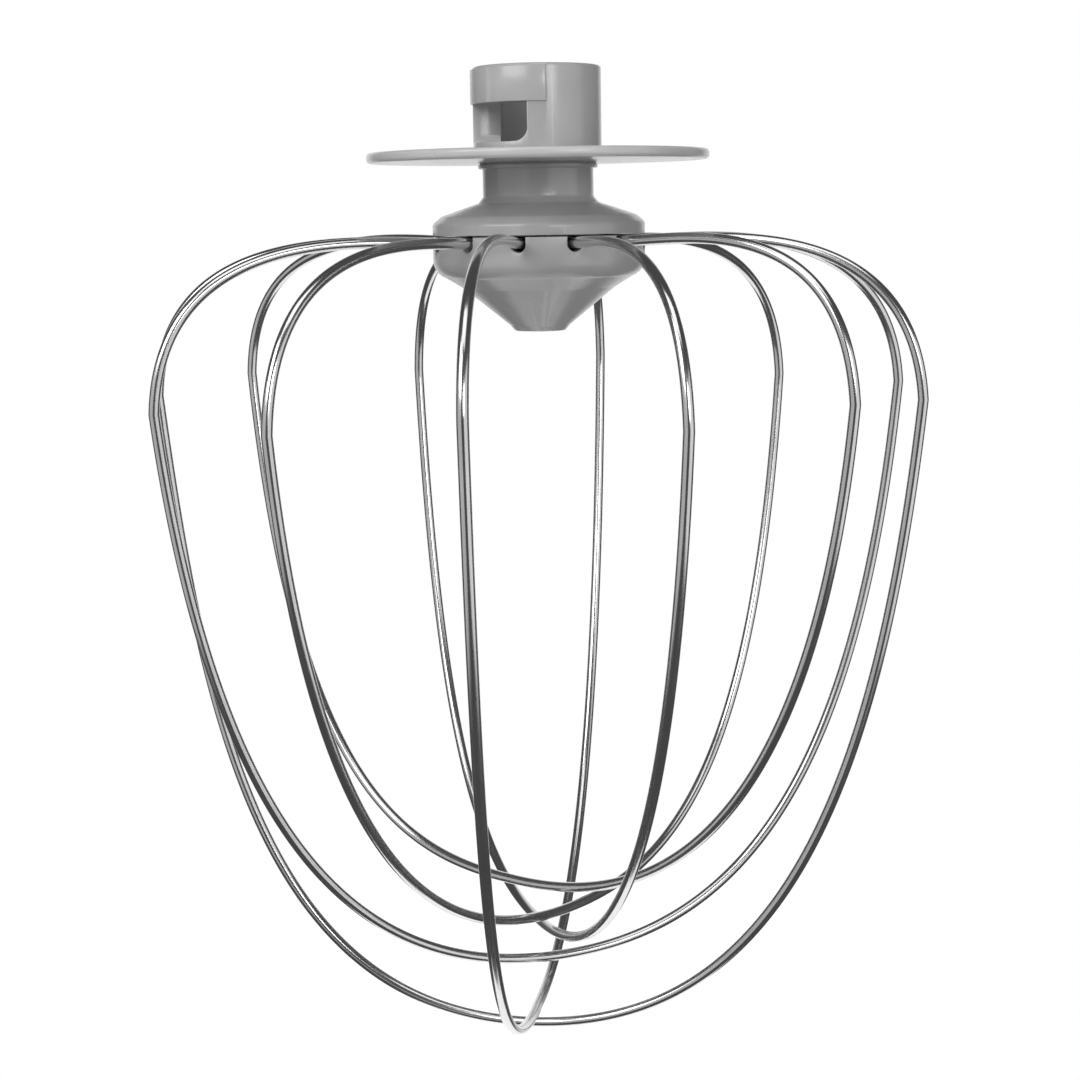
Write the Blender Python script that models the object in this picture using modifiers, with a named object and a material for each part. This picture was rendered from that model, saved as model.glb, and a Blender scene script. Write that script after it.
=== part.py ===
"""Balloon whip for a stand mixer: a two-part hub with a drip disc and six wire loops.

Everything is dimensioned in millimetres and scaled to metres by MM. The origin is the
centre of the socket's mouth, +Z points up the drive shaft, and the wires hang below.
Levels are heights above the seam between the two halves of the hub; seam_to_part moves
them into the part's frame. Azimuths are degrees anticlockwise from +X.
"""

import math

import bmesh
import bpy
from mathutils import Matrix, Vector

MM = 0.001
NAME = "balloon_whip"
CLEARANCE = 0.3              # air between neighbouring solids
ROUND_STEPS = 60             # facets round a turned piece
PAST = 1.5                   # how far a cutter reaches past the face it opens

# Upper hub: socket sleeve, neck and cap
SEAM_DEPTH = 31.0            # from the socket's mouth down to the seam
SEAM_HALF_GAP = 0.15
SLEEVE_RADIUS = 12.0
SLEEVE_EDGE = 0.5
SLEEVE_BASE = 16.0           # underside of the sleeve, above the drip disc
DISC_GROOVE_RADIUS = 10.9
NECK_FLANGE_RADIUS = 11.2    # thin flange that the drip disc snaps down against
NECK_FLANGE_LEVELS = (13.1, 12.3)
NECK_RADIUS = 10.4
NECK_BEAD_RADIUS = 11.3
NECK_BEAD_LEVEL = 6.0
CAP_CONE_RADIUS = 18.4
CAP_CONE_LEVEL = 3.6
HUB_RADIUS = 20.0

# Bayonet socket, sized for a half-inch shaft whose 5 mm pin sticks out on one side
BORE_RADIUS = 6.8
BORE_FLOOR = 9.0
PIN_SLOT_LEVELS = (17.1, 24.2)
PIN_SLOT_AZIMUTHS = (180.0, 261.0)
PIN_SEAT_RADIUS = 2.5
KEYWAY_WIDTH = 5.8
KEYWAY_REACH = 10.6          # from the axis to the outer end of a keyway
KEYWAY_AZIMUTH = 196.0
GUARD_RADIUS = 12.45         # raised band over the keyway
GUARD_AZIMUTHS = (165.0, 277.6)

# Drip disc
DISC_RADIUS = 32.1
DISC_TOP = 15.7
DISC_BOTTOM = 13.4
DISC_DISH = 0.2              # each face falls this much towards the rim
DISC_EDGE = 0.6

# Lower hub: nose cone with the wire slots
NOSE_PROFILE = ((HUB_RADIUS, -5.2), (19.3, -6.6), (17.6, -7.7), (15.0, -9.4),
                (11.0, -12.5), (8.4, -14.6), (5.7, -16.9), (5.2, -17.6), (4.2, -17.9))
HOOK_CHANNEL_RADII = (12.4, 15.8)
HOOK_CHANNEL_FLOOR = -6.2
SLOT_COUNT = 12
SLOT_AZIMUTH = -11.0         # of slot 0; the others follow clockwise
SLOT_WIDTH = 2.7
SLOT_DEPTH = 2.9
SLOT_ROUNDING = 8            # facets of a slot's round floor

# Clamping pieces on the axis
INSERT_RADIUS = 3.4
INSERT_LEVELS = (-1.2, -8.2)
THREAD_RADIUS = 2.3
SCREW_RADIUS = 2.0
SCREW_END = -8.4
SCREW_HEAD_RADIUS = 3.8
SCREW_HEAD_HEIGHT = 2.2
HEX_RECESS_RADIUS = 1.75
HEX_RECESS_DEPTH = 1.3
SCREW_HOLE_RADIUS = 2.5
WASHER_RADIUS = 5.2
WASHER_THICKNESS = 1.0

# Wire loops. Each is one wire whose two ends hook down inside the lower hub.
WIRE_RADIUS = 1.0
WIRE_LEVEL = -1.3            # wire axis where it lies in its slot
HOOK_RADIUS = 14.1
HOOK_END = -4.6
HOOK_BEND = 1.4
HOOK_STEPS = 4
KINK_RADIUS = 74.5           # the widest point, where shoulder and flank meet
SHOULDER_START = 18.0
SHOULDER_HANDLES = (14.5, 35.0)
SHOULDER_LEAN = 3.6          # degrees outward of vertical, just above the kink
FLANK_LEAN = 5.8             # degrees inward of vertical, just below the kink
FLANK_HANDLE = 0.7           # share of the flank's height
BOTTOM_HANDLE = 42.0
HANDLE_DEPTH = 143.0         # a loop of this depth has exactly those two handles
FLANK_HANDLE_CHANGE = -0.015    # per mm of further depth
BOTTOM_HANDLE_CHANGE = 1.0      # mm per mm of further depth
SHOULDER_STEPS = 13
FLANK_STEPS = 19
# From the shallowest loop to the deepest, which cross in pairs at right angles: the slot
# of the loop's first end, the depth of its bottom, how far the loop swings over towards
# that end, the level of its kinks, and how far its first and second side are sprung
# sideways. The bottom swings all of that way and the kinks KINK_SHARE of it.
KINK_SHARE = 0.5
LOOPS = (
    (1, 128.5, -12.0, -29.0, 3.0, 2.0),
    (4, 134.0, -7.5, -31.5, 1.5, -1.0),
    (2, 137.0, -8.0, -30.5, 0.5, 2.0),
    (5, 142.5, -1.5, -30.5, 1.0, -2.5),
    (3, 147.5, 14.0, -27.5, 3.0, -0.5),
    (0, 156.5, -5.5, -30.5, -6.0, 0.0),
)


def seam_to_part(level):
    """Height in the part's frame, in metres, of a level given from the seam in mm."""
    return (level - SEAM_DEPTH) * MM


def clear_scene():
    for obj in list(bpy.data.objects):
        bpy.data.objects.remove(obj, do_unlink=True)


def make_collection(name, hidden=False):
    collection = bpy.data.collections.new(name)
    collection.hide_render = hidden
    bpy.context.scene.collection.children.link(collection)
    return collection


def make_material(name, colour, metallic, roughness):
    material = bpy.data.materials.new(name)
    material.use_nodes = True
    surface = material.node_tree.nodes["Principled BSDF"]
    surface.inputs["Base Color"].default_value = (*colour, 1.0)
    surface.inputs["Metallic"].default_value = metallic
    surface.inputs["Roughness"].default_value = roughness
    material.diffuse_color = (*colour, 1.0)
    return material


def add_object(name, data, material=None):
    """A part with a material, or a cutter without one."""
    obj = bpy.data.objects.new(name, data)
    if material:
        data.materials.append(material)
        parts.objects.link(obj)
    else:
        obj.hide_render = True
        obj.display_type = "WIRE"
        cutters.objects.link(obj)
    return obj


def cutter_from(name, shape):
    """A closed cutter from a bmesh, with its faces turned outwards."""
    bmesh.ops.recalc_face_normals(shape, faces=shape.faces)
    mesh = bpy.data.meshes.new(name)
    shape.to_mesh(mesh)
    shape.free()
    return add_object(name, mesh)


def turned(name, profile, material=None, steps=ROUND_STEPS):
    """A turned piece. Its profile of (radius, level) runs down the outer side.

    It ends on the axis at both ends, or goes right round and ends where it starts.
    """
    mesh = bpy.data.meshes.new(name)
    corners = [(radius * MM, 0.0, seam_to_part(level)) for radius, level in profile]
    edges = [(i, i + 1) for i in range(len(corners) - 1)]
    if profile[0] == profile[-1]:
        corners.pop()
        edges[-1] = (len(corners) - 1, 0)
    mesh.from_pydata(corners, edges, [])
    obj = add_object(name, mesh, material)
    screw = obj.modifiers.new("turn", "SCREW")
    screw.axis = "Z"
    screw.angle = math.tau
    screw.steps = steps
    screw.render_steps = steps
    screw.use_merge_vertices = True
    screw.merge_threshold = 1e-6
    return obj


def hexagon_prism(name, radius, top, bottom):
    shape = bmesh.new()
    bmesh.ops.create_cone(shape, cap_ends=True, segments=6, radius1=radius * MM,
                          radius2=radius * MM, depth=(top - bottom) * MM)
    middle = seam_to_part((top + bottom) / 2)
    bmesh.ops.translate(shape, verts=shape.verts, vec=(0.0, 0.0, middle))
    return cutter_from(name, shape)


def flat_face(shape, outline, turn):
    """A face in an upright plane. Its outline is (radius, sideways, level) points."""
    return shape.faces.new(
        shape.verts.new(turn @ Vector((radius * MM, sideways * MM, seam_to_part(level))))
        for radius, sideways, level in outline)


def sector(name, radii, levels, azimuths, facet=6.0):
    """Part of a thick ring: a rectangle spun about the axis between two azimuths."""
    start, end = (math.radians(azimuth) for azimuth in azimuths)
    shape = bmesh.new()
    section = flat_face(shape, [(radii[0], 0, levels[0]), (radii[1], 0, levels[0]),
                                (radii[1], 0, levels[1]), (radii[0], 0, levels[1])],
                        Matrix.Rotation(start, 3, "Z"))
    bmesh.ops.spin(shape, geom=[section, *section.edges, *section.verts],
                   axis=(0, 0, 1), cent=(0, 0, 0), angle=end - start,
                   steps=math.ceil((azimuths[1] - azimuths[0]) / facet))
    return cutter_from(name, shape)


def radial_prism(name, outline, radii, azimuth):
    """A prism along a radius. Its outline is (sideways, level) points."""
    turn = Matrix.Rotation(math.radians(azimuth), 3, "Z")
    shape = bmesh.new()
    section = flat_face(shape, [(radii[0], *point) for point in outline], turn)
    grown = bmesh.ops.extrude_face_region(shape, geom=[section])["geom"]
    bmesh.ops.translate(shape, verts=[part for part in grown if isinstance(part, bmesh.types.BMVert)],
                        vec=turn @ Vector(((radii[1] - radii[0]) * MM, 0, 0)))
    return cutter_from(name, shape)


def boolean(obj, operation, other):
    modifier = obj.modifiers.new(other.name, "BOOLEAN")
    modifier.operation = operation
    modifier.solver = "EXACT"
    modifier.object = other


def shade(obj, angle=35.0):
    """Smooth shading with sharp edges, on the finished mesh."""
    graph = bpy.context.evaluated_depsgraph_get()
    mesh = bpy.data.meshes.new_from_object(obj.evaluated_get(graph))
    obj.modifiers.clear()
    obj.data = mesh
    mesh.name = obj.name
    mesh.shade_smooth()
    mesh.set_sharp_from_angle(angle=math.radians(angle))


def arc_outline(centre, radius, start, end, steps):
    """(sideways, level) points on an arc, both ends included; angles in degrees."""
    angles = [math.radians(start + (end - start) * i / steps) for i in range(steps + 1)]
    return [(centre[0] + radius * math.cos(a), centre[1] + radius * math.sin(a)) for a in angles]


def make_upper_hub():
    """Sleeve, neck and cap in one moulding, with the bayonet socket in the sleeve."""
    hub = turned("upper_hub", (
        (BORE_RADIUS, SEAM_DEPTH),
        (SLEEVE_RADIUS - SLEEVE_EDGE, SEAM_DEPTH),
        (SLEEVE_RADIUS, SEAM_DEPTH - SLEEVE_EDGE),
        (SLEEVE_RADIUS, SLEEVE_BASE),
        (DISC_GROOVE_RADIUS, SLEEVE_BASE),
        (DISC_GROOVE_RADIUS, NECK_FLANGE_LEVELS[0]),
        (NECK_FLANGE_RADIUS, NECK_FLANGE_LEVELS[0]),
        (NECK_FLANGE_RADIUS, NECK_FLANGE_LEVELS[1]),
        (NECK_RADIUS, NECK_FLANGE_LEVELS[1]),
        (NECK_RADIUS, NECK_BEAD_LEVEL + 1.2),
        (NECK_BEAD_RADIUS, NECK_BEAD_LEVEL),
        (CAP_CONE_RADIUS, CAP_CONE_LEVEL),
        (HUB_RADIUS - 0.4, CAP_CONE_LEVEL - 0.8),
        (HUB_RADIUS, CAP_CONE_LEVEL - 1.8),
        (HUB_RADIUS, SEAM_HALF_GAP),
        (SCREW_HOLE_RADIUS, SEAM_HALF_GAP),
        (SCREW_HOLE_RADIUS, BORE_FLOOR),
        (BORE_RADIUS, BORE_FLOOR),
        (BORE_RADIUS, SEAM_DEPTH),
    ), make_material("upper_hub_moulding", (0.42, 0.42, 0.42), 0.0, 0.35))
    add_guard_band(hub)
    cut_bayonet(hub)
    shade(hub)


def add_guard_band(hub):
    """The raised band over the keyway, flush with the top of the pin slot."""
    levels = (PIN_SLOT_LEVELS[1], SEAM_DEPTH - SLEEVE_EDGE)
    boolean(hub, "UNION", sector("guard_band", (SLEEVE_RADIUS - 2, GUARD_RADIUS), levels,
                                 GUARD_AZIMUTHS))


def cut_bayonet(hub):
    """A keyway down the inside of the sleeve, the pin slot it leads to and the round seat."""
    start, end = PIN_SLOT_AZIMUTHS
    seat_turn = math.degrees(PIN_SEAT_RADIUS / SLEEVE_RADIUS)
    seat_level = PIN_SLOT_LEVELS[0] + PIN_SEAT_RADIUS
    reach = (BORE_RADIUS - 2, GUARD_RADIUS + PAST)
    slot = sector("pin_slot", reach, PIN_SLOT_LEVELS, (start, end - seat_turn))
    above_seat = sector("pin_slot_end", reach, (seat_level, PIN_SLOT_LEVELS[1]),
                        (end - seat_turn - 1, end))
    seat = radial_prism("pin_seat", arc_outline((0, seat_level), PIN_SEAT_RADIUS, 0, 345, 23),
                        reach, end - seat_turn)
    half = KEYWAY_WIDTH / 2
    keyway = radial_prism("keyway",
                          ((-half, PIN_SLOT_LEVELS[0] + PAST), (half, PIN_SLOT_LEVELS[0] + PAST),
                           (half, SEAM_DEPTH + PAST), (-half, SEAM_DEPTH + PAST)),
                          (0.5, KEYWAY_REACH), KEYWAY_AZIMUTH)
    for cutter in (slot, above_seat, seat, keyway):
        boolean(hub, "DIFFERENCE", cutter)


def make_drip_disc():
    bore = DISC_GROOVE_RADIUS + CLEARANCE
    disc = turned("drip_disc", (
        (bore, DISC_TOP),
        (DISC_RADIUS - DISC_EDGE, DISC_TOP - DISC_DISH),
        (DISC_RADIUS, DISC_TOP - DISC_DISH - DISC_EDGE),
        (DISC_RADIUS, DISC_BOTTOM + DISC_DISH + DISC_EDGE),
        (DISC_RADIUS - DISC_EDGE, DISC_BOTTOM + DISC_DISH),
        (bore, DISC_BOTTOM),
        (bore, DISC_TOP),
    ), make_material("drip_disc_moulding", (0.45, 0.45, 0.45), 0.0, 0.4))
    shade(disc)


def make_lower_hub():
    """The nose cone, with a hole for the insert, a channel for the hooks and wire slots."""
    hole_radius = INSERT_RADIUS + CLEARANCE
    hole_floor = SCREW_END - CLEARANCE
    inner, outer = HOOK_CHANNEL_RADII
    hub = turned("lower_hub", (
        (0, hole_floor),
        (hole_radius, hole_floor),
        (hole_radius, -SEAM_HALF_GAP),
        (inner, -SEAM_HALF_GAP),
        (inner, HOOK_CHANNEL_FLOOR),
        (outer, HOOK_CHANNEL_FLOOR),
        (outer, -SEAM_HALF_GAP),
        (HUB_RADIUS, -SEAM_HALF_GAP),
        *NOSE_PROFILE,
        (0, NOSE_PROFILE[-1][1]),
    ), make_material("lower_hub_moulding", (0.38, 0.38, 0.38), 0.0, 0.35))
    for number in range(SLOT_COUNT):
        boolean(hub, "DIFFERENCE", wire_slot_cutter(number))
    shade(hub)


def slot_azimuth(number):
    return SLOT_AZIMUTH - 360.0 * number / SLOT_COUNT


def wire_slot_cutter(number):
    """A slot open at the seam, with a half-round floor."""
    half = SLOT_WIDTH / 2
    floor = arc_outline((0, half - SLOT_DEPTH), half, 180, 360, SLOT_ROUNDING)
    outline = ((-half, PAST), *floor, (half, PAST))
    middle_of_channel = sum(HOOK_CHANNEL_RADII) / 2
    return radial_prism(f"wire_slot_{number}", outline, (middle_of_channel, HUB_RADIUS + PAST),
                        slot_azimuth(number))


def make_clamp_screw():
    """Socket-head screw that pulls the two halves of the hub together."""
    head_base = BORE_FLOOR + 2 * CLEARANCE + WASHER_THICKNESS
    head_top = head_base + SCREW_HEAD_HEIGHT
    screw = turned("clamp_screw", (
        (0, head_top), (SCREW_HEAD_RADIUS - 0.3, head_top), (SCREW_HEAD_RADIUS, head_top - 0.3),
        (SCREW_HEAD_RADIUS, head_base), (SCREW_RADIUS, head_base),
        (SCREW_RADIUS, SCREW_END + 0.4), (SCREW_RADIUS - 0.4, SCREW_END), (0, SCREW_END),
    ), make_material("clamp_screw_steel", (0.5, 0.5, 0.52), 1.0, 0.3), steps=24)
    recess = hexagon_prism("hex_recess", HEX_RECESS_RADIUS, head_top + PAST,
                           head_top - HEX_RECESS_DEPTH)
    boolean(screw, "DIFFERENCE", recess)
    shade(screw)


def make_screw_washer():
    top = BORE_FLOOR + CLEARANCE + WASHER_THICKNESS
    bottom = BORE_FLOOR + CLEARANCE
    washer = turned("screw_washer", (
        (SCREW_HOLE_RADIUS, top), (WASHER_RADIUS, top), (WASHER_RADIUS, bottom),
        (SCREW_HOLE_RADIUS, bottom), (SCREW_HOLE_RADIUS, top),
    ), make_material("washer_steel", (0.55, 0.55, 0.56), 1.0, 0.35), steps=24)
    shade(washer)


def make_threaded_insert():
    """Brass bush moulded into the boss of the lower hub."""
    top, bottom = INSERT_LEVELS
    insert = turned("threaded_insert", (
        (THREAD_RADIUS, top), (INSERT_RADIUS, top), (INSERT_RADIUS, bottom),
        (THREAD_RADIUS, bottom), (THREAD_RADIUS, top),
    ), make_material("insert_brass", (0.7, 0.5, 0.22), 1.0, 0.3), steps=24)
    shade(insert)


def bezier(start, handle_1, handle_2, end, steps):
    """(radius, level) points on a cubic curve, without its start."""
    points = []
    for i in range(1, steps + 1):
        t = i / steps
        u = 1 - t
        points.append(start * u**3 + handle_1 * 3 * u * u * t + handle_2 * 3 * u * t * t
                      + end * t**3)
    return points


def lean(angle):
    """Unit vector that points up and leans inwards by this many degrees."""
    return Vector((-math.sin(math.radians(angle)), math.cos(math.radians(angle))))


def hook_outline():
    """The bent end of a wire, from its tip to where the shoulder starts."""
    centre = (HOOK_RADIUS + HOOK_BEND, WIRE_LEVEL - HOOK_BEND)
    bend = arc_outline(centre, HOOK_BEND, 180, 90, HOOK_STEPS)
    return [Vector(point) for point in ((HOOK_RADIUS, HOOK_END), *bend,
                                        (SHOULDER_START, WIRE_LEVEL))]


def side_outline(depth, swing, kink_level):
    """Half a loop in its own plane: hook, shoulder, kink and flank down to the bottom."""
    further = depth - HANDLE_DEPTH
    kink = Vector((KINK_RADIUS + KINK_SHARE * swing, kink_level))
    start = Vector((SHOULDER_START, WIRE_LEVEL))
    shoulder = bezier(start, start + Vector((SHOULDER_HANDLES[0], 0)),
                      kink + SHOULDER_HANDLES[1] * lean(SHOULDER_LEAN), kink, SHOULDER_STEPS)
    flank_handle = (FLANK_HANDLE + FLANK_HANDLE_CHANGE * further) * (kink_level + depth)
    bottom_handle = BOTTOM_HANDLE + BOTTOM_HANDLE_CHANGE * further
    bottom = Vector((swing, -depth))
    flank = bezier(kink, kink - flank_handle * lean(-FLANK_LEAN),
                   bottom + Vector((bottom_handle, 0)), bottom, FLANK_STEPS)
    return hook_outline() + shoulder + flank


def sprung(outline, kink_level, sideways):
    """The outline in space, facing +X, bent sideways most of all at the kink."""
    points = []
    for radius, level in outline:
        if level > kink_level:
            share = max(0.0, radius - SHOULDER_START) / (KINK_RADIUS - SHOULDER_START)
            bend = sideways * share**1.5
        else:
            bend = sideways * (radius / KINK_RADIUS)**2
        points.append(Vector((radius * MM, bend * MM, seam_to_part(level))))
    return points


def make_wire_loop(number, slot, depth, swing, kink_level, first_bend, second_bend):
    """One loop: two sides that start from opposite slots and meet at the bottom."""
    first = sprung(side_outline(depth, swing, kink_level), kink_level, first_bend)
    second = sprung(side_outline(depth, -swing, kink_level), kink_level, second_bend)
    about = Matrix.Rotation(math.pi, 3, "Z")
    turn = Matrix.Rotation(math.radians(slot_azimuth(slot)), 3, "Z")
    path = [turn @ point for point in first[:-1] + [about @ p for p in reversed(second)]]
    name = f"wire_loop_{number}"
    curve = bpy.data.curves.new(name, "CURVE")
    curve.dimensions = "3D"
    curve.bevel_depth = WIRE_RADIUS * MM
    curve.bevel_resolution = 2
    curve.use_fill_caps = True
    spline = curve.splines.new("POLY")
    spline.points.add(len(path) - 1)
    for point, place in zip(spline.points, path):
        point.co = (*place, 1.0)
    steel = make_material(f"{name}_steel", (0.62, 0.62, 0.63), 1.0, 0.18)
    wire = add_object(name, curve, steel)
    mesh_a_curve(wire, steel)


def mesh_a_curve(obj, material):
    """Replaces a curve object by its closed, smooth mesh."""
    graph = bpy.context.evaluated_depsgraph_get()
    mesh = bpy.data.meshes.new_from_object(obj.evaluated_get(graph))
    shape = bmesh.new()
    shape.from_mesh(mesh)
    bmesh.ops.remove_doubles(shape, verts=shape.verts, dist=1e-6)
    shape.to_mesh(mesh)
    shape.free()
    mesh.shade_smooth()
    mesh.set_sharp_from_angle(angle=math.radians(60))
    name = obj.name
    bpy.data.objects.remove(obj)
    mesh.materials.clear()
    add_object(name, mesh, material)


clear_scene()
parts = make_collection(NAME)
cutters = make_collection("cutters", hidden=True)
make_upper_hub()
make_drip_disc()
make_lower_hub()
make_clamp_screw()
make_screw_washer()
make_threaded_insert()
for number, loop in enumerate(LOOPS, start=1):
    make_wire_loop(number, *loop)
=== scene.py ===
"""Studio scene of a stand mixer's balloon whip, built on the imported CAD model.

Shapes are dimensioned in millimetres. Levels are heights above the seam between the two
halves of the hub, and azimuths are degrees anticlockwise from +X, as in the part.
"""

import math

import bmesh
import bpy
from mathutils import Matrix, Quaternion, Vector


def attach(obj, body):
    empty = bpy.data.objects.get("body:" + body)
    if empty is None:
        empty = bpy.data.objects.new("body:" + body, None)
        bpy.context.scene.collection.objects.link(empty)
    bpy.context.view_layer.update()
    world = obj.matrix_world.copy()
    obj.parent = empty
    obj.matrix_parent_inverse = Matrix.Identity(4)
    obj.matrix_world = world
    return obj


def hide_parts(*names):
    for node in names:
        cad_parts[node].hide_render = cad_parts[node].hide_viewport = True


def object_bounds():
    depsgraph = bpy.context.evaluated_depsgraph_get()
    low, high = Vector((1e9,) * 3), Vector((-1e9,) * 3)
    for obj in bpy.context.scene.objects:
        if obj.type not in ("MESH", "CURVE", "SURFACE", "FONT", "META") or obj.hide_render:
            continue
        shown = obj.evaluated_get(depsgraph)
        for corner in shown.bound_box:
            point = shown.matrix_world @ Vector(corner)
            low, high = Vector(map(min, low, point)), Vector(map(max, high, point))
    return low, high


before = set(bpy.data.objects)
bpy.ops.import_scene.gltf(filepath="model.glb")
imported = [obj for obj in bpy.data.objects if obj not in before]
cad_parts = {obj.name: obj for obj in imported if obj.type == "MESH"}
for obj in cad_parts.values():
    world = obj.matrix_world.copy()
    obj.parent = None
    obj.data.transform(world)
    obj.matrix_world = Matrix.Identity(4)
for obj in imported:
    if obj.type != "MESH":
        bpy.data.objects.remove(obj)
cad_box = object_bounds()

MM = 0.001
ROUND_STEPS = 144             # facets round a turned piece
FILLET_STEP = 12.0            # degrees each facet of a fillet turns, at most
SECTOR_STEP = 2.5             # degrees each facet of a ring sector turns, at most
CUTTER_EXCESS = 1.5           # how far a cutter stands out past the face it cuts

# Upper hub
SEAM_DEPTH = 31.0
SEAM_HALF_GAP = 0.15
SLEEVE_RADIUS = 12.0
SLEEVE_BASE = 16.0
GROOVE_RADIUS = 10.9
NECK_RADIUS = 10.4
FLANGE_RADIUS = 11.2
FLANGE_LEVELS = (12.3, 13.1)
NECK_FOOT = 7.1
CAP_SLOPE = ((11.3, 6.0), (18.4, 3.6))      # (radius, level) of its inner and outer end
CAP_SHOULDER = 2.2
HUB_RADIUS = 20.0
BORE_RADIUS = 6.8
BORE_FLOOR = 9.0
SCREW_HOLE_RADIUS = 2.5
PIN_SLOT_LEVELS = (17.1, 24.2)
PIN_SLOT_AZIMUTHS = (180.0, 261.0)
PIN_SLOT_RADII = (4.8, 14.0)  # from inside the bore to clear of the sleeve
PIN_SEAT_RADIUS = 2.5
PIN_SEAT_POINTS = 60
KEYWAY_WIDTH = 5.8
KEYWAY_FLOOR = 18.6
KEYWAY_RADII = (0.5, 10.6)
KEYWAY_AZIMUTH = 196.0
GUARD_RADII = (10.0, 12.45)   # from inside the sleeve's wall to the band's face
GUARD_TOP = SEAM_DEPTH - 0.5
GUARD_AZIMUTHS = (165.0, 277.6)
EDGE_SOFTENING = 0.16         # small round on the moulding's cut edges
SOFTENED_ANGLE = 50.0         # edges that turn more than this get the round
SHARP_ANGLE = 32.0            # edges that still turn more than this are shaded sharp

# Ridges that the mould leaves: (radius, levels) of the sleeve's and the cap's
PARTING_AZIMUTH = 283.0
PARTING_WIDTH = 0.16
PARTING_HEIGHT = 0.04
PARTING_LINES = (
    (SLEEVE_RADIUS, (SLEEVE_BASE + 0.4, PIN_SLOT_LEVELS[1] - 0.3)),
    (HUB_RADIUS, (SEAM_HALF_GAP + 0.3, 1.2)),
)

# Drip disc
DISC_RADIUS = 32.1
DISC_BORE = 11.2
DISC_TOP = 15.7
DISC_BOTTOM = 13.4
DISC_DISH = 0.2
DISC_RIM_FILLET = 0.75

# Lower hub
CHANNEL_RADII = (12.4, 15.8)
CHANNEL_FLOOR = -6.2
INSERT_HOLE = (3.7, -8.7)     # radius, floor
CONE_FLANK = ((17.7, -7.75), (14.2, -9.9), (5.6, -16.9))    # (radius, level), downwards
CONE_WALL_END = -6.9
CONE_TIP = (4.8, -17.9)
SLOT_COUNT = 12
SLOT_AZIMUTH = -11.0
SLOT_WIDTH = 2.7
SLOT_DEPTH = 2.9
SLOT_RADII = (14.1, 21.5)     # from inside the channel to clear of the wall

# Wire loops
WIRE_RADIUS = 1.0
WIRE_SIDES = 24
WIRE_END_CHAMFER = 0.2        # share of the wire's radius
WIRE_SHARP_ANGLE = 40.0
SHOULDER_STEPS = 64
FLANK_STEPS = 90
HOOK_STEPS = 10
WIRE_LEVEL = -1.3
HOOK_RADIUS = 14.1
HOOK_END = -4.6
HOOK_BEND = 1.4
KINK_RADIUS = 74.5
KINK_SHARE = 0.5
SHOULDER_START = 18.0
SHOULDER_HANDLES = (14.5, 35.0)
SHOULDER_LEAN = 3.6
FLANK_LEAN = 5.8
FLANK_HANDLE = 0.7
BOTTOM_HANDLE = 42.0
HANDLE_DEPTH = 143.0
FLANK_HANDLE_CHANGE = -0.015
BOTTOM_HANDLE_CHANGE = 1.0
# Slot of the first end, depth, swing towards that end, level of the kinks, and how far
# the first and the second side are sprung sideways
LOOPS = (
    (1, 128.5, -12.0, -29.0, 3.0, 2.0),
    (4, 134.0, -7.5, -31.5, 1.5, -1.0),
    (2, 137.0, -8.0, -30.5, 0.5, 2.0),
    (5, 142.5, -1.5, -30.5, 1.0, -2.5),
    (3, 147.5, 14.0, -27.5, 3.0, -0.5),
    (0, 156.5, -5.5, -30.5, -6.0, 0.0),
)

# Camera: its place and what it looks at, from the centre of the seam
CAMERA_AT = (0.0, -390.2, 4.4)
CAMERA_AIM = (-0.7, 0.0, -58.3)
CAMERA_ROLL = 0.9
CAMERA_LENS = 68.2

# Studio
FLOOR_DROP = 240.0            # clear height under the lowest wire, as if it hung on its shaft
FLOOR_LEFT_FRONT = (-140.0, -60.0)
FLOOR_RIGHT_BACK = (140.0, 900.0)
LIGHTS_AIM = -90.0            # height of the whip's middle, from the mouth of its socket
ROOM_GREY = 0.08              # what the wires reflect from the camera's side
BACKDROP_TURN = (0.76, 0.9)   # cosines from straight back, between which room becomes backdrop


def seam_to_part(level):
    return (level - SEAM_DEPTH) * MM


# ---------------------------------------------------------------- shapes

def add_object(name, data, material=None):
    obj = bpy.data.objects.new(name, data)
    bpy.context.scene.collection.objects.link(obj)
    if material:
        data.materials.append(material)
    return obj


def mesh_from(name, corners, faces):
    mesh = bpy.data.meshes.new(name)
    mesh.from_pydata(corners, [], faces)
    shape = bmesh.new()
    shape.from_mesh(mesh)
    bmesh.ops.recalc_face_normals(shape, faces=shape.faces)
    shape.to_mesh(mesh)
    shape.free()
    return mesh


def rounded(corners):
    """The outline of (radius, level, fillet) corners, as (radius, level) points with arcs."""
    outline = []
    for i, (radius, level, fillet) in enumerate(corners):
        here = Vector((radius, level))
        if not fillet:
            outline.append(here)
            continue
        back = (Vector(corners[i - 1][:2]) - here).normalized()
        ahead = (Vector(corners[(i + 1) % len(corners)][:2]) - here).normalized()
        half = back.angle(ahead) / 2
        centre = here + (back + ahead).normalized() * (fillet / math.sin(half))
        first = here + back * (fillet / math.tan(half)) - centre
        last = here + ahead * (fillet / math.tan(half)) - centre
        steps = max(2, math.ceil(math.degrees(math.pi - 2 * half) / FILLET_STEP))
        for step in range(steps + 1):
            outline.append(centre + fillet * first.slerp(last, step / steps).normalized())
    return outline


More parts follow.
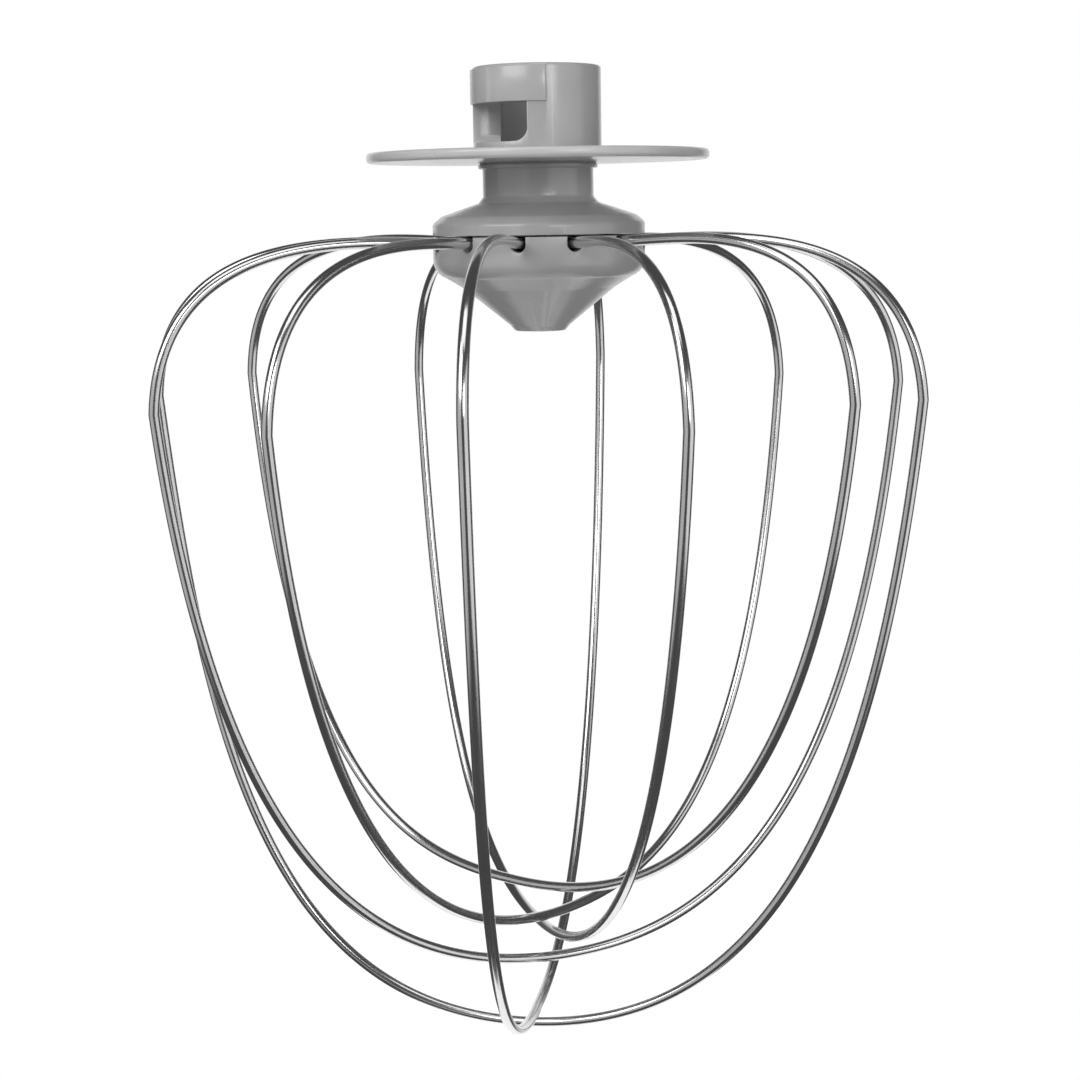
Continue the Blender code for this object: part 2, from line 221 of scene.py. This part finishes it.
def turned(name, corners, material):
    """A turned piece whose outline goes right round, or starts and ends on the axis."""
    outline = rounded(corners)
    mesh = bpy.data.meshes.new(name)
    points = [(radius * MM, 0.0, seam_to_part(level)) for radius, level in outline]
    edges = [(i, i + 1) for i in range(len(points) - 1)]
    if outline[0][0] > 0:
        edges.append((len(points) - 1, 0))
    mesh.from_pydata(points, edges, [])
    obj = add_object(name, mesh, material)
    screw = obj.modifiers.new("turn", "SCREW")
    screw.steps = ROUND_STEPS
    screw.render_steps = ROUND_STEPS
    screw.use_merge_vertices = True
    screw.merge_threshold = 1e-6
    return obj


def sector(name, radii, levels, azimuths):
    """Part of a thick ring between two azimuths."""
    count = math.ceil((azimuths[1] - azimuths[0]) / SECTOR_STEP)
    corners = []
    for step in range(count + 1):
        azimuth = math.radians(azimuths[0] + (azimuths[1] - azimuths[0]) * step / count)
        for radius, level in ((radii[0], levels[0]), (radii[1], levels[0]),
                              (radii[1], levels[1]), (radii[0], levels[1])):
            corners.append((radius * MM * math.cos(azimuth),
                            radius * MM * math.sin(azimuth), seam_to_part(level)))
    faces = [(0, 1, 2, 3), tuple(4 * count + i for i in range(4))]
    for step in range(count):
        for side in range(4):
            near, far = 4 * step + side, 4 * step + (side + 1) % 4
            faces.append((near, far, far + 4, near + 4))
    return add_object(name, mesh_from(name, corners, faces))


def radial_prism(name, outline, radii, azimuth):
    """A prism along a radius. Its outline is (sideways, level) points."""
    turn = Matrix.Rotation(math.radians(azimuth), 3, "Z")
    corners = [turn @ Vector((radius * MM, sideways * MM, seam_to_part(level)))
               for radius in radii for sideways, level in outline]
    count = len(outline)
    faces = [tuple(range(count)), tuple(range(count, 2 * count))]
    for i in range(count):
        after = (i + 1) % count
        faces.append((i, after, after + count, i + count))
    return add_object(name, mesh_from(name, corners, faces))


def arc_outline(centre, radius, start, end, steps):
    angles = [math.radians(start + (end - start) * i / steps) for i in range(steps + 1)]
    return [(centre[0] + radius * math.cos(a), centre[1] + radius * math.sin(a)) for a in angles]


def boolean(obj, operation, tool):
    modifier = obj.modifiers.new(tool.name, "BOOLEAN")
    modifier.operation = operation
    modifier.solver = "EXACT"
    modifier.object = tool


def finish_shape(obj, softened=False):
    """Applies the modifiers, with the cut edges rounded if softened, and removes the cutters."""
    tools = [m.object for m in obj.modifiers if m.type == "BOOLEAN"]
    if softened:
        bevel = obj.modifiers.new("soft_edges", "BEVEL")
        bevel.width = EDGE_SOFTENING * MM
        bevel.segments = 2
        bevel.limit_method = "ANGLE"
        bevel.angle_limit = math.radians(SOFTENED_ANGLE)
        bevel.use_clamp_overlap = False
    graph = bpy.context.evaluated_depsgraph_get()
    mesh = bpy.data.meshes.new_from_object(obj.evaluated_get(graph))
    obj.modifiers.clear()
    obj.data = mesh
    mesh.name = obj.name
    mesh.shade_smooth()
    mesh.set_sharp_from_angle(angle=math.radians(SHARP_ANGLE))
    for tool in tools:
        bpy.data.objects.remove(tool)


def place(obj, node):
    """Rides the whip's one body in place of the CAD node."""
    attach(obj, "root")
    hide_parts(node)


def make_upper_hub(material):
    """The sleeve, its groove and flange, the neck and the cap, as (radius, level, fillet)."""
    slope_top, slope_end = CAP_SLOPE
    hub = turned("hub_cap_and_sleeve", (
        (BORE_RADIUS, SEAM_DEPTH, 0.3),
        (SLEEVE_RADIUS, SEAM_DEPTH, 0.5),
        (SLEEVE_RADIUS, SLEEVE_BASE, 0.15),
        (GROOVE_RADIUS, SLEEVE_BASE, 0),
        (GROOVE_RADIUS, FLANGE_LEVELS[1], 0),
        (FLANGE_RADIUS, FLANGE_LEVELS[1], 0.12),
        (FLANGE_RADIUS, FLANGE_LEVELS[0], 0.3),
        (NECK_RADIUS, FLANGE_LEVELS[0], 0),
        (NECK_RADIUS, NECK_FOOT, 1.0),
        (*slope_top, 0.6),
        (*slope_end, 2.0),
        (HUB_RADIUS, CAP_SHOULDER, 1.0),
        (HUB_RADIUS, SEAM_HALF_GAP, 0.12),
        (SCREW_HOLE_RADIUS, SEAM_HALF_GAP, 0),
        (SCREW_HOLE_RADIUS, BORE_FLOOR, 0),
        (BORE_RADIUS, BORE_FLOOR, 0.4),
    ), material)
    add_guard_band(hub)
    cut_bayonet(hub)
    finish_shape(hub, softened=True)
    for side in (0, 180):
        for radius, levels in PARTING_LINES:
            add_parting_line(hub, side, radius, levels)
    finish_shape(hub)
    place(hub, "upper_hub")


def add_guard_band(hub):
    """The raised band over the pin slot."""
    levels = (PIN_SLOT_LEVELS[1], GUARD_TOP)
    boolean(hub, "UNION", sector("guard_band", GUARD_RADII, levels, GUARD_AZIMUTHS))


def add_parting_line(hub, side, radius, levels):
    """The fine ridge that the mould's two halves leave on a wall."""
    start = PARTING_AZIMUTH + side
    end = start + math.degrees(PARTING_WIDTH / radius)
    line = sector(f"parting_line_{side}_{radius}", (radius - 1, radius + PARTING_HEIGHT),
                  levels, (start, end))
    boolean(hub, "UNION", line)


def cut_bayonet(hub):
    """The keyway that lets the shaft's pin in, and the slot it turns along to its round seat."""
    start, end = PIN_SLOT_AZIMUTHS
    bottom, top = PIN_SLOT_LEVELS
    seat_level = bottom + PIN_SEAT_RADIUS
    seat_azimuth = end - math.degrees(PIN_SEAT_RADIUS / SLEEVE_RADIUS)
    overlap = 1.0
    slot = sector("pin_slot", PIN_SLOT_RADII, PIN_SLOT_LEVELS, (start, seat_azimuth))
    above_seat = sector("pin_slot_end", PIN_SLOT_RADII, (seat_level, top),
                        (seat_azimuth - overlap, end))
    circle = arc_outline((0, seat_level), PIN_SEAT_RADIUS, 0, 360 - 360 / PIN_SEAT_POINTS,
                         PIN_SEAT_POINTS - 1)
    seat = radial_prism("pin_seat", circle, PIN_SLOT_RADII, seat_azimuth)
    half = KEYWAY_WIDTH / 2
    mouth = SEAM_DEPTH + CUTTER_EXCESS
    rectangle = ((-half, KEYWAY_FLOOR), (half, KEYWAY_FLOOR), (half, mouth), (-half, mouth))
    keyway = radial_prism("keyway", rectangle, KEYWAY_RADII, KEYWAY_AZIMUTH)
    for tool in (slot, above_seat, seat, keyway):
        boolean(hub, "DIFFERENCE", tool)


def make_drip_disc(material):
    """The disc, a little thinner at its rim than at its bore."""
    disc = turned("drip_disc_moulding", (
        (DISC_BORE, DISC_TOP, 0.2),
        (DISC_RADIUS, DISC_TOP - DISC_DISH, DISC_RIM_FILLET),
        (DISC_RADIUS, DISC_BOTTOM + DISC_DISH, DISC_RIM_FILLET),
        (DISC_BORE, DISC_BOTTOM, 0.2),
    ), material)
    finish_shape(disc)
    place(disc, "drip_disc")


def slot_azimuth(number):
    return SLOT_AZIMUTH - 360.0 * number / SLOT_COUNT


def make_lower_hub(material):
    """The nose cone, open at its top for the insert and the wires' hooks."""
    inner, outer = CHANNEL_RADII
    bead, waist, tip_edge = CONE_FLANK
    hub = turned("hub_nose_cone", (
        (0, INSERT_HOLE[1], 0),
        (INSERT_HOLE[0], INSERT_HOLE[1], 0),
        (INSERT_HOLE[0], -SEAM_HALF_GAP, 0),
        (inner, -SEAM_HALF_GAP, 0),
        (inner, CHANNEL_FLOOR, 0),
        (outer, CHANNEL_FLOOR, 0),
        (outer, -SEAM_HALF_GAP, 0),
        (HUB_RADIUS, -SEAM_HALF_GAP, 0.12),
        (HUB_RADIUS, CONE_WALL_END, 3.4),
        (*bead, 0.25),
        (*waist, 3.0),
        (*tip_edge, 1.2),
        (*CONE_TIP, 0.5),
        (0, CONE_TIP[1], 0),
    ), material)
    half = SLOT_WIDTH / 2
    round_end = arc_outline((0, half - SLOT_DEPTH), half, 180, 360, 20)
    outline = ((-half, CUTTER_EXCESS), *round_end, (half, CUTTER_EXCESS))
    for number in range(SLOT_COUNT):
        slot = radial_prism(f"wire_slot_{number}", outline, SLOT_RADII, slot_azimuth(number))
        boolean(hub, "DIFFERENCE", slot)
    finish_shape(hub, softened=True)
    place(hub, "lower_hub")


# ---------------------------------------------------------------- wires

def bezier(start, handle_1, handle_2, end, steps):
    """Points along the curve, without its start."""
    points = []
    for i in range(1, steps + 1):
        t = i / steps
        u = 1 - t
        points.append(start * u**3 + handle_1 * 3 * u * u * t + handle_2 * 3 * u * t * t
                      + end * t**3)
    return points


def lean(angle):
    """The upward direction, leaning in towards the axis by an angle."""
    return Vector((-math.sin(math.radians(angle)), math.cos(math.radians(angle))))


def side_outline(depth, swing, kink_level):
    """Half a loop in its own plane: hook, shoulder, kink and flank down to the bottom."""
    further = depth - HANDLE_DEPTH
    kink = Vector((KINK_RADIUS + KINK_SHARE * swing, kink_level))
    start = Vector((SHOULDER_START, WIRE_LEVEL))
    bend = arc_outline((HOOK_RADIUS + HOOK_BEND, WIRE_LEVEL - HOOK_BEND), HOOK_BEND,
                       180, 90, HOOK_STEPS)
    hook = [Vector(point) for point in ((HOOK_RADIUS, HOOK_END), *bend)] + [start]
    shoulder = bezier(start, start + Vector((SHOULDER_HANDLES[0], 0)),
                      kink + SHOULDER_HANDLES[1] * lean(SHOULDER_LEAN), kink,
                      SHOULDER_STEPS)
    flank_handle = (FLANK_HANDLE + FLANK_HANDLE_CHANGE * further) * (kink_level + depth)
    bottom_handle = BOTTOM_HANDLE + BOTTOM_HANDLE_CHANGE * further
    bottom = Vector((swing, -depth))
    flank = bezier(kink, kink - flank_handle * lean(-FLANK_LEAN),
                   bottom + Vector((bottom_handle, 0)), bottom, FLANK_STEPS)
    return hook + shoulder + flank


def sprung(outline, kink_level, sideways):
    """The outline in space, facing +X, bent sideways most of all at the kink."""
    points = []
    for radius, level in outline:
        if level > kink_level:
            share = max(0.0, radius - SHOULDER_START) / (KINK_RADIUS - SHOULDER_START)
            bend = sideways * share**1.5
        else:
            bend = sideways * (radius / KINK_RADIUS)**2
        points.append(Vector((radius * MM, bend * MM, seam_to_part(level))))
    return points


def loop_path(slot, depth, swing, kink_level, first_bend, second_bend):
    """One wire from its hook in a slot to its hook in the slot opposite."""
    first = sprung(side_outline(depth, swing, kink_level), kink_level, first_bend)
    second = sprung(side_outline(depth, -swing, kink_level), kink_level, second_bend)
    about = Matrix.Rotation(math.pi, 3, "Z")
    turn = Matrix.Rotation(math.radians(slot_azimuth(slot)), 3, "Z")
    return [turn @ point for point in first[:-1] + [about @ p for p in reversed(second)]]


def sweep(name, path, radius, material):
    """A round wire along a path, in metres, with chamfered ends. Its "grain" attribute is the
    place round and along the wire, for marks that follow it."""
    rings = []
    normal = Vector((0.3, 0.2, 1.0))
    along = 0.0
    for i, place_on_path in enumerate(path):
        tangent = (path[min(i + 1, len(path) - 1)] - path[max(i - 1, 0)]).normalized()
        normal = (normal - tangent * normal.dot(tangent)).normalized()
        across = tangent.cross(normal)
        if i:
            along += (place_on_path - path[i - 1]).length
        rings.append((place_on_path, normal.copy(), across, tangent, along))
    chamfer = WIRE_END_CHAMFER * radius
    first, last = rings[0], rings[-1]
    sections = ([(first, radius - chamfer, -chamfer)] + [(ring, radius, 0.0) for ring in rings]
                + [(last, radius - chamfer, chamfer)])
    corners, grain = [], []
    for (centre, normal, across, tangent, along), size, ahead in sections:
        for k in range(WIRE_SIDES):
            angle = math.tau * k / WIRE_SIDES
            c, s = math.cos(angle), math.sin(angle)
            corners.append(centre + tangent * ahead + (normal * c + across * s) * size)
            grain.append((c * radius, s * radius, along))
    faces = [tuple(range(WIRE_SIDES)),
             tuple(len(corners) - WIRE_SIDES + k for k in range(WIRE_SIDES))]
    for row in range(len(sections) - 1):
        for k in range(WIRE_SIDES):
            a, b = row * WIRE_SIDES + k, row * WIRE_SIDES + (k + 1) % WIRE_SIDES
            faces.append((a, b, b + WIRE_SIDES, a + WIRE_SIDES))
    mesh = mesh_from(name, corners, faces)
    attribute = mesh.attributes.new("grain", "FLOAT_VECTOR", "POINT")
    attribute.data.foreach_set("vector", [value for vector in grain for value in vector])
    mesh.shade_smooth()
    mesh.set_sharp_from_angle(angle=math.radians(WIRE_SHARP_ANGLE))
    return add_object(name, mesh, material)


def make_wires(material):
    for number, loop in enumerate(LOOPS, start=1):
        wire = sweep(f"whip_wire_{number}", loop_path(*loop), WIRE_RADIUS * MM, material)
        place(wire, f"wire_loop_{number}")


# ---------------------------------------------------------------- materials

def new_material(name, colour, metallic, roughness):
    """A material with its nodes, links and shader, before anything varies over the surface."""
    material = bpy.data.materials.new(name)
    material.use_nodes = True
    nodes, links = material.node_tree.nodes, material.node_tree.links
    surface = nodes["Principled BSDF"]
    surface.inputs["Base Color"].default_value = (*colour, 1.0)
    surface.inputs["Metallic"].default_value = metallic
    surface.inputs["Roughness"].default_value = roughness
    return material, nodes, links, surface


def noise(nodes, links, vector, scale, detail=3.0):
    texture = nodes.new("ShaderNodeTexNoise")
    texture.inputs["Scale"].default_value = scale
    texture.inputs["Detail"].default_value = detail
    links.new(vector, texture.inputs["Vector"])
    return texture.outputs["Fac"]


def span(nodes, links, value, low, high, from_low=0.3, from_high=0.7):
    """The value's usual range mapped to low..high."""
    mapped = nodes.new("ShaderNodeMapRange")
    mapped.inputs["From Min"].default_value = from_low
    mapped.inputs["From Max"].default_value = from_high
    mapped.inputs["To Min"].default_value = low
    mapped.inputs["To Max"].default_value = high
    links.new(value, mapped.inputs["Value"])
    return mapped.outputs["Result"]


def shade_of(nodes, links, colour, factor):
    """The colour made lighter or darker by a factor that varies over the surface."""
    mix = nodes.new("ShaderNodeVectorMath")
    mix.operation = "SCALE"
    mix.inputs[0].default_value = colour
    links.new(factor, mix.inputs["Scale"])
    return mix.outputs["Vector"]


def bump(nodes, links, heights, surface):
    """Stacks bumps given as (height, strength, distance in mm)."""
    previous = None
    for height, strength, distance in heights:
        node = nodes.new("ShaderNodeBump")
        node.inputs["Strength"].default_value = strength
        node.inputs["Distance"].default_value = distance * MM
        links.new(height, node.inputs["Height"])
        if previous:
            links.new(previous, node.inputs["Normal"])
        previous = node.outputs["Normal"]
    links.new(previous, surface.inputs["Normal"])


def moulding_material(name, grey):
    """Grey moulding: fine spark-eroded grain, slight mottling, and sharp edges painted lighter as
    a painted highlight.
    """
    colour = (grey, grey, grey)
    roughness = 0.19
    material, nodes, links, surface = new_material(name, colour, 0.0, roughness)
    surface.inputs["Specular IOR Level"].default_value = 0.6
    where = nodes.new("ShaderNodeTexCoord").outputs["Object"]
    grain = noise(nodes, links, where, 2600, 4)
    mottle = noise(nodes, links, where, 120, 3)
    # painted highlight: the base colour is made lighter on sharp, convex edges
    edges = span(nodes, links, nodes.new("ShaderNodeNewGeometry").outputs["Pointiness"],
                 0.0, 0.16, 0.52, 0.6)
    # random mottling plus the painted edge highlight
    mottle_and_painted_highlight = nodes.new("ShaderNodeMath")
    mottle_and_painted_highlight.operation = "ADD"
    links.new(span(nodes, links, mottle, 0.94, 1.05), mottle_and_painted_highlight.inputs[0])
    links.new(edges, mottle_and_painted_highlight.inputs[1])
    links.new(shade_of(nodes, links, colour, mottle_and_painted_highlight.outputs["Value"]), surface.inputs["Base Color"])
    links.new(span(nodes, links, grain, roughness - 0.05, roughness + 0.05),
              surface.inputs["Roughness"])
    bump(nodes, links, ((grain, 0.5, 0.04), (mottle, 0.2, 0.08)), surface)
    return material


def wire_material():
    """Drawn stainless wire, polished, with faint marks that run along it."""
    colour = (0.66, 0.66, 0.665)
    roughness = 0.175
    material, nodes, links, surface = new_material("polished_wire", colour, 1.0, roughness)
    attribute = nodes.new("ShaderNodeAttribute")
    attribute.attribute_name = "grain"
    stretch = nodes.new("ShaderNodeVectorMath")
    stretch.operation = "MULTIPLY"
    stretch.inputs[1].default_value = (1.0, 1.0, 0.03)
    links.new(attribute.outputs["Vector"], stretch.inputs[0])
    marks = noise(nodes, links, stretch.outputs["Vector"], 3000, 3)
    handling = noise(nodes, links, attribute.outputs["Vector"], 90, 3)
    links.new(shade_of(nodes, links, colour, span(nodes, links, handling, 0.93, 1.06)),
              surface.inputs["Base Color"])
    links.new(span(nodes, links, marks, roughness - 0.045, roughness + 0.045),
              surface.inputs["Roughness"])
    bump(nodes, links, ((marks, 0.05, 0.02), (handling, 0.1, 0.1)), surface)
    return material


def machined_material(name, colour, roughness):
    """Turned metal: rings round the axis, with small stains."""
    material, nodes, links, surface = new_material(name, colour, 1.0, roughness)
    where = nodes.new("ShaderNodeTexCoord").outputs["Object"]
    rings = nodes.new("ShaderNodeTexWave")
    rings.wave_type = "RINGS"
    rings.rings_direction = "Z"
    rings.inputs["Scale"].default_value = 900
    rings.inputs["Distortion"].default_value = 0.6
    links.new(where, rings.inputs["Vector"])
    stains = noise(nodes, links, where, 300, 3)
    links.new(shade_of(nodes, links, colour, span(nodes, links, stains, 0.85, 1.08)),
              surface.inputs["Base Color"])
    links.new(span(nodes, links, stains, roughness - 0.06, roughness + 0.1),
              surface.inputs["Roughness"])
    bump(nodes, links, ((rings.outputs["Fac"], 0.15, 0.02),), surface)
    return material


def dress_node(name, material):
    """Gives a CAD node, which keeps its own shape, a material."""
    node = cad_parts[name]
    node.data.materials.clear()
    node.data.materials.append(material)


# ---------------------------------------------------------------- studio

def make_floor():
    """A white table under the whip that runs back from it, bright enough to show no edge."""
    level = cad_box[0][2] - FLOOR_DROP * MM
    (left, front), (right, back) = FLOOR_LEFT_FRONT, FLOOR_RIGHT_BACK
    corners = [(x * MM, y * MM, level)
               for x, y in ((left, front), (right, front), (right, back), (left, back))]
    mesh = mesh_from("studio_floor", corners, [(0, 1, 2, 3)])
    white = (0.86, 0.86, 0.86)
    material, nodes, links, surface = new_material("studio_floor", white, 0.0, 0.7)
    where = nodes.new("ShaderNodeTexCoord").outputs["Object"]
    patches = span(nodes, links, noise(nodes, links, where, 40), 0.985, 1.01)
    links.new(shade_of(nodes, links, white, patches), surface.inputs["Base Color"])
    surface.inputs["Emission Color"].default_value = (1, 1, 1, 1)
    surface.inputs["Emission Strength"].default_value = 0.85
    floor = add_object("studio_floor", mesh, material)


def make_softbox(name, azimuth, elevation, distance, size, watts):
    """An area light that faces the whip's middle. Azimuth 0 is straight in front, and the
    distance and the size are in metres."""
    light = bpy.data.lights.new(name, "AREA")
    light.shape = "RECTANGLE"
    light.size, light.size_y = size
    light.energy = watts
    lamp = add_object(name, light)
    a, e = math.radians(azimuth), math.radians(elevation)
    middle = Vector((0, 0, LIGHTS_AIM * MM))
    away = Vector((math.sin(a) * math.cos(e), -math.cos(a) * math.cos(e), math.sin(e)))
    lamp.location = middle + away * distance
    lamp.rotation_euler = away.to_track_quat("Z", "Y").to_euler()
    lamp.visible_camera = False


def make_world():
    """For light and reflections, a white backdrop far behind the whip and a dim room in front
    of it. The camera itself sees white all round."""
    world = bpy.data.worlds.new("studio")
    bpy.context.scene.world = world
    world.use_nodes = True
    nodes, links = world.node_tree.nodes, world.node_tree.links
    background = nodes["Background"]
    parts = nodes.new("ShaderNodeSeparateXYZ")
    links.new(nodes.new("ShaderNodeTexCoord").outputs["Generated"], parts.inputs[0])
    ramp = nodes.new("ShaderNodeValToRGB")
    ramp.color_ramp.elements[0].color = (ROOM_GREY, ROOM_GREY, ROOM_GREY, 1)
    ramp.color_ramp.elements[1].color = (1, 1, 1, 1)
    links.new(span(nodes, links, parts.outputs["Y"], 0.0, 1.0, *BACKDROP_TURN),
              ramp.inputs["Fac"])
    chosen = nodes.new("ShaderNodeMix")
    chosen.data_type = "RGBA"
    chosen.inputs["B"].default_value = (1, 1, 1, 1)
    links.new(nodes.new("ShaderNodeLightPath").outputs["Is Camera Ray"], chosen.inputs["Factor"])
    links.new(ramp.outputs["Color"], chosen.inputs["A"])
    links.new(chosen.outputs["Result"], background.inputs["Color"])


def make_camera():
    camera = bpy.data.cameras.new("camera")
    camera.lens = CAMERA_LENS
    obj = add_object("camera", camera)
    centre = Vector((0, 0, -SEAM_DEPTH))
    at = (centre + Vector(CAMERA_AT)) * MM
    aim = (centre + Vector(CAMERA_AIM)) * MM
    level = (aim - at).to_track_quat("-Z", "Y")
    roll = Quaternion((0, 0, 1), math.radians(-CAMERA_ROLL))
    obj.location = at
    obj.rotation_euler = (level @ roll).to_euler()
    bpy.context.scene.camera = obj


make_camera()
make_world()
make_softbox("softbox_key", -40, 30, 1.0, (0.7, 0.5), 4.0)
make_softbox("softbox_fill", 22, 14, 1.1, (0.45, 0.25), 1.7)
make_softbox("softbox_left", -56, -3, 1.0, (1.4, 0.9), 2.0)
make_softbox("softbox_right", 55, -2, 1.0, (1.25, 0.9), 3.0)
make_softbox("softbox_top", -8, 64, 0.9, (0.8, 0.5), 1.9)
make_floor()

# One grey plastic in three greys: the disc's lighter grey (0.63 against 0.48 and 0.5) is painted
# light, a lit copy of the same moulding
make_upper_hub(moulding_material("upper_hub_grain", 0.48))
make_drip_disc(moulding_material("drip_disc_grain_painted_lighter", 0.63))
make_lower_hub(moulding_material("lower_hub_grain", 0.5))
make_wires(wire_material())
dress_node("clamp_screw", machined_material("screw_steel", (0.5, 0.5, 0.52), 0.3))
dress_node("screw_washer", machined_material("washer_steel", (0.58, 0.58, 0.6), 0.25))
dress_node("threaded_insert", machined_material("insert_brass", (0.7, 0.5, 0.22), 0.3))

bpy.context.scene.view_settings.view_transform = "Standard"
